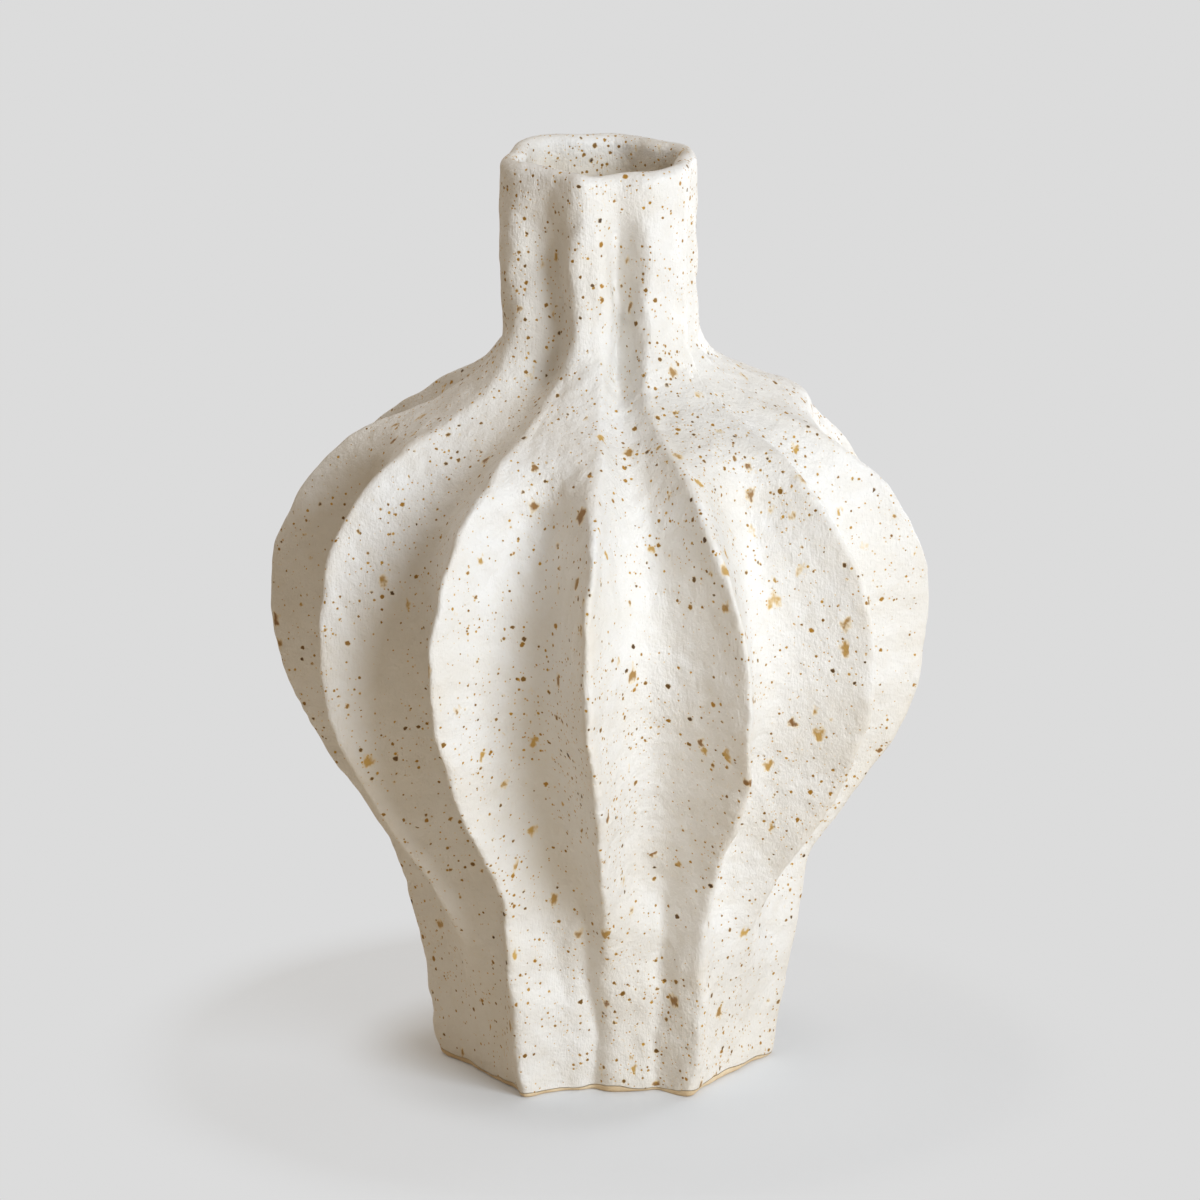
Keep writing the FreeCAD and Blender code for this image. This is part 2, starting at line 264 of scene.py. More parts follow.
def facing(rings: Array) -> Array:
    """Unit normals of a grid of rings: the way round crossed with the way from ring to ring."""
    normals = np.cross(np.roll(rings, -1, 1) - np.roll(rings, 1, 1), np.gradient(rings, axis=0))
    return normals / np.maximum(np.linalg.norm(normals, axis=-1, keepdims=True), TINY)


def placed(name: str, data: bpy.types.ID) -> bpy.types.Object:
    """A new object with some data, linked to the scene."""
    thing = bpy.data.objects.new(name, data)
    bpy.context.scene.collection.objects.link(thing)
    return thing


@dataclass(frozen=True)
class Waves:
    """A rolling field: a sum of sine waves with seeded directions and phases."""

    seed: int
    longest: float
    shortest: float
    height: float
    count: int = 18

    def field(self, points: Array) -> Array:
        """Shift at each point: the sum over waves of way * height * sin(push . point + phase).

        Args:
            points: Places in metres, shape (..., 3).

        Returns:
            Shifts in metres, of the same shape.
        """
        rng = np.random.default_rng(self.seed)
        lengths = np.exp(rng.uniform(math.log(self.shortest), math.log(self.longest), self.count))
        pushes = rng.normal(size=(self.count, 3))
        pushes *= (FULL_TURN / lengths / np.linalg.norm(pushes, axis=1))[:, None]
        ways = rng.normal(size=(self.count, 3))
        ways *= self.height * math.sqrt(2 / self.count) / np.linalg.norm(ways, axis=1, keepdims=True)
        shift = np.zeros_like(points)
        for push, way, phase in zip(pushes, ways, rng.uniform(0, FULL_TURN, self.count)):
            shift += np.sin(points @ push + phase)[..., None] * way
        return shift


@dataclass(frozen=True)
class Wander:
    """How pinched edges stray along their length: a sum of sines of the height, seeded by ridge."""

    seed: int
    longest: float
    shortest: float
    reach: float
    count: int = 7

    def at(self, heights: Array, ridge: int) -> Array:
        """Stray of one ridge at each height.

        Args:
            heights: Heights in metres.
            ridge: Number of the ridge.

        Returns:
            Strays in metres.
        """
        rng = np.random.default_rng(self.seed + ridge)
        lengths = np.exp(rng.uniform(math.log(self.shortest), math.log(self.longest), self.count))
        phase = rng.uniform(0, FULL_TURN, self.count)
        turns = heights[:, None] * FULL_TURN / lengths + phase
        return np.sin(turns).sum(1) * self.reach * math.sqrt(2 / self.count)


@dataclass(frozen=True)
class ThumbPress:
    """A shallow groove drawn down one panel with the thumb."""

    panel: int
    across: float
    spread: float
    low: float
    high: float
    fade: float
    depth: float

    def depths(self, along: Array, shares: Array) -> Array:
        """Depth of the groove, shape (heights, places across).

        It is a bell across the panel, times a smooth step in at the groove's
        lowest height and out at its highest.

        Args:
            along: Places across the panel, from 0 to 1.
            shares: Heights as shares of the vase height.

        Returns:
            Depths in metres.
        """
        bell = np.exp(-(((along - self.across) / self.spread) ** 2))
        rise = ramp(self.low - self.fade, self.low + self.fade, shares)
        fall = 1 - ramp(self.high - self.fade, self.high + self.fade, shares)
        return self.depth * (rise * fall)[:, None] * bell


@dataclass(frozen=True)
class FinLift:
    """A place where one fin's edge stands further out than its level."""

    ridge: int
    share: float
    spread: float
    lift: float

    def at(self, shares: Array) -> Array:
        """Extra reach in metres at each height: a bell round the middle height."""
        return self.lift * np.exp(-(((shares - self.share) / self.spread) ** 2))


@dataclass
class RidgeLine:
    """One ridge at many heights, each field an array with one value per height."""

    number: int
    heights: Array
    turn: Array
    radius: Array
    soft: Array
    draw: Array
    foot: Array
    depth: Array
    width: Array
    wall: Array
    centre: Array

    def point(self, radius: Array, side: Array | float = 0.0) -> Array:
        """Points at a radius on the ridge's plane, and to the side of it, shape (n, 3)."""
        sine, cosine = np.sin(self.turn), np.cos(self.turn)
        x = self.centre + radius * sine + side * cosine
        y = -radius * cosine + side * sine
        return np.stack([x, y, self.heights], -1)

    def shoulder(self, side: int) -> Array:
        """Edge of the seat under the bead, on side -1 or 1."""
        return self.point(self.radius - self.depth, side * self.width / 2)

    def groove(self) -> Array:
        """Line where the two panels meet on the inside."""
        return self.point(self.radius - self.wall)

    def nose(self) -> Array:
        """Poles of the bead's rounded outline, shape (n, 4, 3)."""
        reach = self.radius + self.depth / 3
        middle = [self.point(reach, side * self.width / 2) for side in (-1, 1)]
        return np.stack([self.shoulder(-1), *middle, self.shoulder(1)], 1)


@dataclass
class WallForm:
    """The wall as one form: its driving sizes, and its outside and inside at any height.

    A ring has the same columns at every height: for each ridge in turn, the arc
    that leaves it and then the nose of the next ridge's bead. A softening or a
    lumps band holds the shares of the height between which it fades in or out.
    The rim's hold is a pair of distances below the top.
    """

    height: float
    belly_radius: float
    wall: float = 6 * MM
    ridge_wall: float = 13 * MM
    bead_depth: float = 1.6 * MM
    bead_least: float = 0.3 * MM
    bead_width: float = 3 * MM
    bead_waver: float = 0.12
    bead_beat: float = 7 * MM
    foot_offset: float = 1.8 * MM
    handle_share: float = 0.4
    lip_height: float = 9 * MM
    edge_reach: float = 2.2 * MM
    edge_calm: float = 0.75
    edge_stray: Wander = Wander(seed=100, longest=60 * MM, shortest=12 * MM, reach=0.20 * MM)
    edge_swell: Wander = Wander(seed=200, longest=60 * MM, shortest=14 * MM, reach=0.12 * MM)
    arc_steps: int = 76
    nose_steps: int = 8
    keen_strides: tuple[int, ...] = (1, 1, 2)
    foot_strides: tuple[int, ...] = (1, 2, 3, 4, 6)
    soft_strides: tuple[int, ...] = (1, 2, 3, 4, 6, 8)
    rim_strides: tuple[int, ...] = (1, 2, 4, 8, 16, 24, 32)
    foot_softening: Band = (0.08, 0.26)
    neck_softening: Band = (0.72, 0.82)
    rim_softening: Band = (0.88, 0.985)
    rolls: tuple[Waves, ...] = (
        Waves(seed=5, longest=70 * MM, shortest=28 * MM, height=0.75 * MM),
        Waves(seed=11, longest=24 * MM, shortest=10 * MM, height=0.20 * MM, count=24),
        Waves(seed=23, longest=9 * MM, shortest=4 * MM, height=0.13 * MM, count=34),
    )
    thumbed: Waves = Waves(seed=31, longest=24 * MM, shortest=10 * MM, height=0.62 * MM, count=26)
    neck_lumps: Band = (0.70, 0.82)
    foot_lumps: Band = (0.20, 0.34)
    foot_lump_share: float = 0.6
    foot_level: float = 20 * MM
    rim_level: float = 30 * MM
    rim_hold: Band = (60 * MM, 20 * MM)
    rim_hold_share: float = 0.4
    presses: tuple[ThumbPress, ...] = (
        ThumbPress(panel=11, across=0.84, spread=0.12, low=-1.0, high=0.25, fade=0.08, depth=3.6 * MM),
        ThumbPress(panel=0, across=0.76, spread=0.14, low=-1.0, high=0.25, fade=0.08, depth=3.6 * MM),
        ThumbPress(panel=0, across=0.58, spread=0.25, low=0.76, high=0.96, fade=0.05, depth=5.2 * MM),
        ThumbPress(panel=10, across=0.58, spread=0.36, low=0.76, high=0.95, fade=0.04, depth=3.4 * MM),
    )
    lifts: tuple[FinLift, ...] = (
        FinLift(ridge=4, share=0.731, spread=0.026, lift=11.5 * MM),
        FinLift(ridge=8, share=0.736, spread=0.018, lift=6.0 * MM),
    )

    @property
    def ridge_steps(self) -> int:
        """Columns from one ridge's arc to the next one's."""
        return self.arc_steps + self.nose_steps

    def level(self, column: int, heights: Array) -> Array:
        """One column of the level table at each height."""
        return column_at(LEVEL_SHARES, column, heights / self.height)

    def ridge(self, number: int, heights: Array) -> RidgeLine:
        """A ridge's places at each height, with its hand-pinched strays.

        Args:
            number: Ridge number from the front towards +X. 12 is the first one, a turn on.
            heights: Heights in metres.

        Returns:
            The ridge line.
        """
        base = number % RIDGE_COUNT
        share = heights / self.height
        column = 1 if base % 2 else 2
        turn = np.radians(eased(TURN_HEIGHT_SHARES, TURN_DEGREES[base].astype(float), share))
        soft = np.clip(column_at(SOFT_SHARES, column, share), 0, 1)
        foot = column_at(SOFT_SHARES, 3, share)
        radius = self.level(column, heights) * self.belly_radius
        radius *= eased(TURN_HEIGHT_SHARES, REACH_SHARES[base], share)
        radius = radius + sum(lift.at(share) for lift in self.lifts if lift.ridge == base)
        crisp = 1 - self.edge_calm * soft
        radius = radius + self.edge_swell.at(heights, base) * crisp
        stray = self.edge_stray.at(heights, base) * crisp
        return RidgeLine(
            number=number,
            heights=heights,
            turn=turn + stray / radius + FULL_TURN * (number // RIDGE_COUNT),
            radius=radius,
            soft=soft,
            draw=np.ones_like(share) if base % 2 else column_at(DRAW_SHARES, 1, share),
            foot=foot,
            depth=np.maximum(self.bead_depth * (1 - soft), self.bead_least),
            width=self.bead_width * (1 + self.bead_waver * np.sin(heights / self.bead_beat + base) * crisp),
            wall=self.ridge_wall * (1 - soft) + self.wall * soft,
            centre=self.foot_offset * foot,
        )

    def arc_poles(self, first: RidgeLine, second: RidgeLine, start: Array, end: Array, inset: float) -> Array:
        """Poles of the outline between two ridges.

        The two middle poles lie a share of the way in from each ridge. The draw
        brings them in so that the arc's middle reaches the valley, and where it
        fades they stand level with their ridges.

        Args:
            first: Ridge that the arc leaves.
            second: Ridge that it comes to.
            start: Start points, shape (n, 3).
            end: End points, shape (n, 3).
            inset: How far the arc stays behind the outside of the wall.

        Returns:
            Poles, shape (n, 4, 3).
        """
        share = first.heights / self.height
        span = second.turn - first.turn
        swing = span * self.handle_share
        reach = 1 + (FOOT_VALLEY_SHARES[first.number % RIDGE_COUNT] - 1) * first.foot
        valley = self.level(3, first.heights) * reach * self.belly_radius - inset
        near_radius = np.hypot(start[:, 0] - first.centre, start[:, 1])
        far_radius = np.hypot(end[:, 0] - second.centre, end[:, 1])
        ends = (near_radius + far_radius) * np.cos(span / 2) / 8
        pull = (valley - ends) * 4 / 3 / np.cos(span * (0.5 - self.handle_share))
        level = 1 / np.cos(swing)
        hold = column_at(DRAW_SHARES, 2, share) if first.number % 2 else 1.0
        low = near_radius * level + (pull - near_radius * level) * first.draw * hold
        high = far_radius * level + (pull - far_radius * level) * second.draw * hold
        near = around(first.centre, low, first.turn + swing, first.heights)
        far = around(first.centre, high, second.turn - swing, first.heights)
        return np.stack([start, near, far, end], 1)

    def blurred(self, ring: Array, strides: tuple[int, ...]) -> Array:
        """Rings after a (1, 2, 1) average with the columns at each stride to both sides.

        Args:
            ring: Points, shape (heights, columns, 3).
            strides: Strides in columns, one average after the other.

        Returns:
            The softer points, of the same shape.
        """
        for stride in strides:
            ring = (np.roll(ring, stride, 1) + 2 * ring + np.roll(ring, -stride, 1)) / 4
        return ring

    def pressed(self, panel: int, arc: Array, heights: Array) -> Array:
        """One panel's outside with its thumb grooves, each pushed in towards the axis.

        Args:
            panel: Number of the panel.
            arc: Its outside, shape (heights, columns, 3).
            heights: Heights in metres.

        Returns:
            The pressed outside, of the same shape.
        """
        out = outward(arc)
        for press in self.presses:
            if press.panel == panel:
                arc[..., :2] -= out * press.depths(stepped(self.arc_steps), heights / self.height)[..., None]
        return arc

    def eased_over(self, made: Array, ring: Array, strides: tuple[int, ...], weight: Array) -> Array:
        """Rings carried towards a softer copy of the ring, by a weight for each height."""
        return made + (self.blurred(ring, strides) - made) * weight[:, None, None]

    def outer_ring(self, heights: Array) -> Array:
        """Whole outside: keen at the fins, and softened by the thumb at the foot and neck.

        Args:
            heights: Heights in metres.

        Returns:
            Points, shape (heights, columns, 3).
        """
        parts = []
        for number in range(RIDGE_COUNT):
            first, second = self.ridge(number, heights), self.ridge(number + 1, heights)
            poles = self.arc_poles(first, second, first.shoulder(1), second.shoulder(-1), 0.0)
            parts.append(self.pressed(number, bezier(self.arc_steps, poles), heights))
            parts.append(bezier(self.nose_steps, second.nose()))
        ring, share = np.concatenate(parts, 1), heights / self.height
        made = self.blurred(ring, self.keen_strides)
        made = self.eased_over(made, ring, self.foot_strides, 1 - ramp(*self.foot_softening, share))
        made = self.eased_over(made, ring, self.soft_strides, ramp(*self.neck_softening, share))
        return self.eased_over(made, ring, self.rim_strides, ramp(*self.rim_softening, share))

    def inner_ring(self, heights: Array) -> Array:
        """Whole inside, softened all over. A groove takes the columns of its ridge's bead.

        Args:
            heights: Heights in metres.

        Returns:
            Points, shape (heights, columns, 3).
        """
        parts = []
        for number in range(RIDGE_COUNT):
            first, second = self.ridge(number, heights), self.ridge(number + 1, heights)
            poles = self.arc_poles(first, second, first.groove(), second.groove(), self.wall)
            parts.append(bezier(self.arc_steps, poles))
            parts.append(np.repeat(second.groove()[:, None], self.nose_steps, 1))
        ring = np.concatenate(parts, 1)
        made = self.blurred(ring, self.soft_strides)
        return self.eased_over(made, ring, self.rim_strides, ramp(*self.rim_softening, heights / self.height))

    def keenness(self, ring: Array, heights: Array) -> Array:
        """How near each point of an outer ring is to a keen ridge: e^(-distance / reach).

        Args:
            ring: Points, shape (heights, columns, 3).
            heights: Heights in metres.

        Returns:
            Keenness from 0 to 1, shape (heights, columns).
        """
        blocks = ring.reshape(len(heights), RIDGE_COUNT, self.ridge_steps, 3)
        soft = np.stack([self.ridge(number, heights).soft for number in range(RIDGE_COUNT)], 1)[..., None]
        left = np.linalg.norm(blocks - blocks[:, :, :1], axis=-1)
        right = np.linalg.norm(blocks - blocks[:, :, self.arc_steps:self.arc_steps + 1], axis=-1)
        near = np.exp(-left / self.edge_reach) * (1 - soft)
        far = np.exp(-right / self.edge_reach) * (1 - np.roll(soft, -1, 1))
        edge = np.maximum(near, far)
        edge[:, :, self.arc_steps:] = 1 - np.roll(soft, -1, 1)
        return edge.reshape(len(heights), -1)

    def worked(self, points: Array) -> Array:
        """Points with the touch of the hand: every roll's shift, held level at the foot and rim.

        Args:
            points: Places in metres, shape (..., 3).

        Returns:
            The shifted places, of the same shape.
        """
        shift = sum(roll.field(points) for roll in self.rolls)
        height = points[..., 2]
        share = height / self.height
        foot = self.foot_lump_share * (1 - ramp(*self.foot_lumps, share))
        lumpy = np.maximum(ramp(*self.neck_lumps, share), foot)
        shift += self.thumbed.field(points) * lumpy[..., None]
        settled = 1 - ramp(self.height - self.rim_level, self.height, height)
        shift[..., 2] *= ramp(0, self.foot_level, height) * settled
        held = ramp(self.height - self.rim_hold[0], self.height - self.rim_hold[1], height)
        shift[..., :2] *= (1 - self.rim_hold_share * held)[..., None]
        return points + shift


class Zone(Enum):
    """Bands of the skin's rows, in order."""

    SLAB = 0
    WALL = 1
    COLLAR = 2
    LIP = 3
    COLLAR_INSIDE = 4
    WALL_INSIDE = 5


@dataclass
class Skin:
    """The whole surface as one grid, which every piece takes its own part of.

    The rows run up the outside, over the rim and down the inside. The columns
    run round from the front ridge towards +X.
    """

    form: WallForm
    slab_top: float
    shoulder: float
    lip_low: float
    slab_rows: int = 14
    wall_rows: int = 400
    collar_rows: int = 81
    lip_side_rows: int = 10
    crest_rows: int = 28
    crest_height: float = 3.2 * MM
    foot_round: float = 1.3 * MM
    foot_crowding: float = 1.6
    # Shares of the lip's rows over which the painted shade of the inside fades in.
    inside_shade_lips: Band = (0.5, 1.2)
    points: Array = field(init=False)
    normals: Array = field(init=False)
    edge: Array = field(init=False)
    bands: dict[Zone, slice] = field(init=False)

    def __post_init__(self) -> None:
        """Work out every point of the grid, its normal and how keen its edge is, -1 for inside."""
        slab = self.slab_top * np.linspace(0, 1, self.slab_rows) ** self.foot_crowding
        wall = np.linspace(self.slab_top, self.shoulder, self.wall_rows)
        collar = np.linspace(self.shoulder, self.lip_low, self.collar_rows)
        heights = np.concatenate([slab, wall[1:], collar[1:]])
        outer = self.form.outer_ring(heights)
        edge = self.form.keenness(outer, heights)
        outer[:self.slab_rows] = self.rounded_foot(outer[:self.slab_rows], slab)
        inner = self.form.inner_ring(heights[self.slab_rows - 1:][::-1])
        lip = self.lip_rows(outer[-1], inner[0])
        grid = self.form.worked(np.concatenate([outer, lip[1:-1], inner], 0))
        grid[0, :, 2] = 0.0
        self.points = grid
        self.normals = facing(grid)
        # The inside rows get -1 in the edge attribute, which the glaze reads to paint a warm, darker shade on
        # the inside.
        start, whole = (share * len(lip) for share in self.inside_shade_lips)
        inside = ramp(start, whole, np.arange(len(grid) - len(edge)))
        self.edge = np.concatenate([edge, -np.repeat(inside[:, None], edge.shape[1], 1)], 0)
        walls = [self.wall_rows, self.collar_rows]
        counts = np.array([self.slab_rows, *walls, len(lip), *walls[::-1]])
        starts = np.concatenate([[0], np.cumsum(counts - 1)])
        self.bands = {zone: slice(low, low + count) for zone, low, count in zip(Zone, starts, counts)}

    def rounded_foot(self, rings: Array, heights: Array) -> Array:
        """Slab rings drawn in near the table, along a quarter round.

        Args:
            rings: Points, shape (heights, columns, 3).
            heights: Heights in metres.

        Returns:
            The drawn rings, of the same shape.
        """
        rise = np.clip(heights / self.foot_round, 0, 1)
        tuck = self.foot_round * (1 - np.sqrt(1 - (1 - rise) ** 2))
        drawn = rings.copy()
        drawn[..., :2] -= outward(rings, self.form.foot_offset) * tuck[:, None, None]
        return drawn

    def rim_tops(self) -> Array:
        """Height of the rim at each column: an eased line from each ridge's dip to the next.

        Returns:
            Heights in metres, one per column.
        """
        dips = np.append(RIM_DIP_SHARES, RIM_DIP_SHARES[0]) * self.form.lip_height
        share = ramp(0, 1, stepped(self.form.arc_steps))
        parts = []
        for low, high in zip(dips, dips[1:]):
            parts.append(low + (high - low) * share)
            parts.append(np.full(self.form.nose_steps, high))
        return self.form.height - np.concatenate(parts)

    def lip_rows(self, outer: Array, inner: Array) -> Array:
        """Rows of the lip: up the outside, over a half ellipse, and down the inside.

        Args:
            outer: Ring at the lip's foot, outside.
            inner: Ring at the lip's foot, inside.

        Returns:
            Points, shape (rows, columns, 3), from the outer ring to the inner one.
        """
        shoulder = self.rim_tops() - self.crest_height
        rise = np.linspace(0, 1, self.lip_side_rows)[:, None]
        heights = self.lip_low + (shoulder - self.lip_low) * rise
        sides = []
        for ring in (outer, inner):
            side = np.repeat(ring[None], self.lip_side_rows, 0)
            side[..., 2] = heights
            sides.append(side)
        swing = np.linspace(0, math.pi, self.crest_rows)[1:-1, None]
        crest = (outer + inner) / 2 + (outer - inner) / 2 * np.cos(swing)[..., None]
        crest[..., 2] = shoulder + self.crest_height * np.sin(swing)
        return np.concatenate([sides[0], crest, sides[1][::-1]], 0)


@dataclass
class Patch:
    """A part of the skin: its points, their normals and how keen its edges are, -1 for inside."""

    points: Array
    normals: Array
    edge: Array

    @classmethod
    def cut(cls, skin: Skin, zone: Zone, columns: Array) -> "Patch":
        """The rows of one band at some columns, which wrap round the ring."""
        rows, columns = skin.bands[zone], columns % skin.points.shape[1]
        return cls(skin.points[rows][:, columns], skin.normals[rows][:, columns], skin.edge[rows][:, columns])

    def joined(self, other: "Patch", axis: int) -> "Patch":
        """This patch with another one after it along an axis."""
        pairs = ((self.points, other.points), (self.normals, other.normals), (self.edge, other.edge))
        return Patch(*(np.concatenate(pair, axis) for pair in pairs))

    def flipped(self) -> "Patch":
        """The patch with its rows in the other order."""
        return Patch(self.points[::-1], self.normals[::-1], self.edge[::-1])

    def closed(self) -> "Patch":
        """The patch with its first row again after its last."""
        return self.joined(Patch(self.points[:1], self.normals[:1], self.edge[:1]), 0)

    def build(self, name: str, caps: bool) -> bpy.types.Object:
        """The mesh object: quads between each row and the next, closed round the loop.

        Args:
            name: The object's name.
            caps: Whether the first and last rows are closed with a face each.

        Returns:
            The new object, linked to the scene.
        """
        count, loop = self.points.shape[:2]
        index = np.arange(count * loop).reshape(count, loop)
        ahead = np.roll(index, -1, 1)
        faces = np.stack([index[:-1], ahead[:-1], ahead[1:], index[1:]], -1).reshape(-1, 4).tolist()
        if caps:
            faces.append(index[0, ::-1].tolist())
            faces.append(index[-1].tolist())
        mesh = bpy.data.meshes.new(name)
        mesh.from_pydata(self.points.reshape(-1, 3).tolist(), [], faces)
        mesh.polygons.foreach_set("use_smooth", np.ones(len(mesh.polygons), bool))
        layer = mesh.attributes.new("edge", "FLOAT", "POINT")
        layer.data.foreach_set("value", self.edge.astype(np.float32).ravel())
        mesh.normals_split_custom_set_from_vertices(self.normals.reshape(-1, 3).tolist())
        return placed(name, mesh)


class Slot(Enum):
    """Material slots of the record."""

    GLAZE = "speckled_glaze"
    CLAY = "bare_clay"


def settle(piece: bpy.types.Object, node: str, slot: Slot, material: bpy.types.Material) -> None:
    """Ride a finished piece on the body in place of its CAD node, dressed in its material.

    Args:
        piece: The finished object.
        node: CAD node that it stands for.
        slot: The record's slot of its finish.
        material: Its material.
    """
    piece.data.materials.append(material)
    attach(piece, BODY)
    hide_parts(node)
    log.info("%s: %d faces in %s", piece.name, len(piece.data.polygons), slot.value)


@dataclass
class FanWall:
    """The twelve leaf-shaped panels, and the thin coils pressed along their ridges."""

    skin: Skin
    inner_stride: int = 4
    seat_depth: float = 1.0 * MM

    def panel(self, number: int, material: bpy.types.Material) -> None:
        """One panel: its outside, then its inside back again, as a loop carried up the wall.

        Args:
            number: Ridge at its first edge.
            material: Its glaze.
        """
        form = self.skin.form
        start, reach = number * form.ridge_steps, form.nose_steps // 2
        outer = Patch.cut(self.skin, Zone.WALL, np.arange(start, start + form.arc_steps + 1))
        inner_columns = np.arange(start + form.arc_steps + reach, start - reach - 1, -self.inner_stride)
        inner = Patch.cut(self.skin, Zone.WALL_INSIDE, inner_columns).flipped()
        piece = outer.joined(inner, 1).build(f"panel_{number + 1:02d}", caps=True)
        settle(piece, f"fan_panel_{number + 1:02d}", Slot.GLAZE, material)

    def bead(self, number: int, material: bpy.types.Material) -> None:
        """One bead: its rounded nose, closed by a back pressed into the panels' seats.

        Args:
            number: Its ridge.
            material: Its glaze.
        """
        form = self.skin.form
        end = number * form.ridge_steps
        nose = Patch.cut(self.skin, Zone.WALL, np.arange(end - form.nose_steps, end + 1))
        rims = [-1, 0]
        inward = -nose.normals[:, rims]
        back = Patch(nose.points[:, rims] + inward * self.seat_depth, inward, nose.edge[:, rims])
        piece = nose.joined(back, 1).build(f"bead_{number + 1:02d}", caps=True)
        settle(piece, f"ridge_bead_{number + 1:02d}", Slot.GLAZE, material)

    def build(self, material: bpy.types.Material) -> None:
        """All panels and beads."""
        for number in range(RIDGE_COUNT):
            self.panel(number, material)
            self.bead(number, material)


@dataclass
class Neck:
    """The fluted collar and the rounded rim on it, both open through the middle."""

    skin: Skin
    stride: int = 2

    def build(self, material: bpy.types.Material) -> None:
        """The collar's outside and inside as one closed loop of rings, and the lip likewise."""
        columns = np.arange(0, RIDGE_COUNT * self.skin.form.ridge_steps, self.stride)
        outside = Patch.cut(self.skin, Zone.COLLAR, columns)
        inside = Patch.cut(self.skin, Zone.COLLAR_INSIDE, columns)
        collar = outside.joined(inside, 0).closed().build("collar", caps=False)
        settle(collar, "neck_collar", Slot.GLAZE, material)
        lip = Patch.cut(self.skin, Zone.LIP, columns).closed().build("lip", caps=False)
        settle(lip, "lip_coil", Slot.GLAZE, material)


@dataclass
class Foot:
    """The faceted slab, and the coil smoothed into the corner above it."""

    skin: Skin
    leg: float = 6 * MM
    fit: float = 0.1 * MM
    stride: int = 4
    slope_rows: int = 10

    def slab(self, material: bpy.types.Material) -> None:
        """The slab's side as rings up from its worn lower edge, closed above and below."""
        columns = np.arange(RIDGE_COUNT * self.skin.form.ridge_steps)
        piece = Patch.cut(self.skin, Zone.SLAB, columns).build("slab", caps=True)
        settle(piece, "base_slab", Slot.CLAY, material)

    def coil(self, material: bpy.types.Material) -> None:
        """Up the wall, then down a hollow quarter round to the floor, and back along it."""
        form, low = self.skin.form, self.skin.slab_top
        wall = form.inner_ring(np.linspace(low, low + self.leg, self.slope_rows))[:, ::self.stride]
        out = outward(wall, form.foot_offset)
        wall[..., :2] -= out * self.fit
        swing = np.linspace(0, math.pi / 2, self.slope_rows)[:, None]
        slope = np.repeat(wall[:1], self.slope_rows, 0)
        slope[..., :2] -= out[:1] * (self.leg * (1 - np.cos(swing)))[..., None]
        slope[..., 2] = low + self.leg * (1 - np.sin(swing))
        rows = form.worked(np.concatenate([wall, slope, wall[:1]], 0))
        piece = Patch(rows, facing(rows), np.zeros(rows.shape[:2])).build("floor_coil", caps=False)
        settle(piece, "floor_joint_coil", Slot.GLAZE, material)


@dataclass
class NodeBoard:
    """Short calls for building one node tree."""

    tree: bpy.types.NodeTree

    def add(self, kind: str, *inputs: object, **settings: object) -> bpy.types.Node:
        """A new node.

        Args:
            kind: Its type.
            *inputs: Values or outputs for its first inputs, in their order.
            **settings: Its properties by name.

        Returns:
            The node.
        """
        node = self.tree.nodes.new(kind)
        for key, value in settings.items():
            setattr(node, key, value)
        for socket, value in zip(node.inputs, inputs):
            self.plug(socket, value)
        return node

    def feed(self, node: bpy.types.Node, **inputs: object) -> bpy.types.Node:
        """Set or link a node's inputs by name, with _ for a space."""
        for key, value in inputs.items():
            self.plug(node.inputs[key.replace("_", " ")], value)
        return node

    def plug(self, socket: Socket, value: object) -> None:
        """Link an output to a socket, or set the socket's own value."""
        if isinstance(value, Socket):
            self.tree.links.new(value, socket)
        else:
            socket.default_value = value

    def math(self, operation: str, *values: object) -> Socket:
        """Output of a math node."""
        return self.add("ShaderNodeMath", *values, operation=operation).outputs[0]

    def vector(self, operation: str, *values: object) -> Socket:
        """Output of a vector math node."""
        return self.add("ShaderNodeVectorMath", *values, operation=operation).outputs[0]

    def blend(self, factor: object, low: object, high: object, mode: str = "MIX") -> Socket:
        """Colour part of the way from low to high."""
        node = self.add("ShaderNodeMix", factor, data_type="RGBA", blend_type=mode)
        self.plug(node.inputs[6], low)
        self.plug(node.inputs[7], high)
        return node.outputs[2]

    def fit(self, value: object, low: object, high: object, least: float = 0.0, most: float = 1.0) -> Socket:
        """Value carried smoothly from one range to another."""
        node = self.add("ShaderNodeMapRange", value, low, high, least, most, interpolation_type="SMOOTHSTEP")
        return node.outputs[0]


def grey(value: float) -> Rgba:
    """A neutral colour."""
    return (value, value, value, 1.0)


def opaque(colour: Colour) -> Rgba:
    """A colour with full alpha."""
    return (*colour, 1.0)


def new_material(name: str) -> tuple[bpy.types.Material, NodeBoard]:
    """A new material and the board of its tree."""
    material = bpy.data.materials.new(name)
    material.use_nodes = True
    return material, NodeBoard(material.node_tree)


@dataclass(frozen=True)
class Pattern:
    """Noise on a finish: the size of its features, and the ranges it is read from and to."""

    size: float
    detail: float = 3.0
    rough: float = 0.5
    low: float = 0.3
    high: float = 0.7
    least: float = 0.0
    most: float = 1.0

    def noise(self, board: NodeBoard, place: object) -> Socket:
        """The plain noise at a place."""
        node = board.add("ShaderNodeTexNoise")
        board.feed(node, Vector=place, Scale=1 / self.size, Detail=self.detail, Roughness=self.rough)
        return node.outputs["Fac"]

    def spread(self, board: NodeBoard, noise: object) -> Socket:
        """Its noise carried from the range low to high to the range least to most."""
        return board.fit(noise, self.low, self.high, self.least, self.most)

    def read(self, board: NodeBoard, place: object) -> Socket:
        """The spread noise at a place."""
        return self.spread(board, self.noise(board, place))


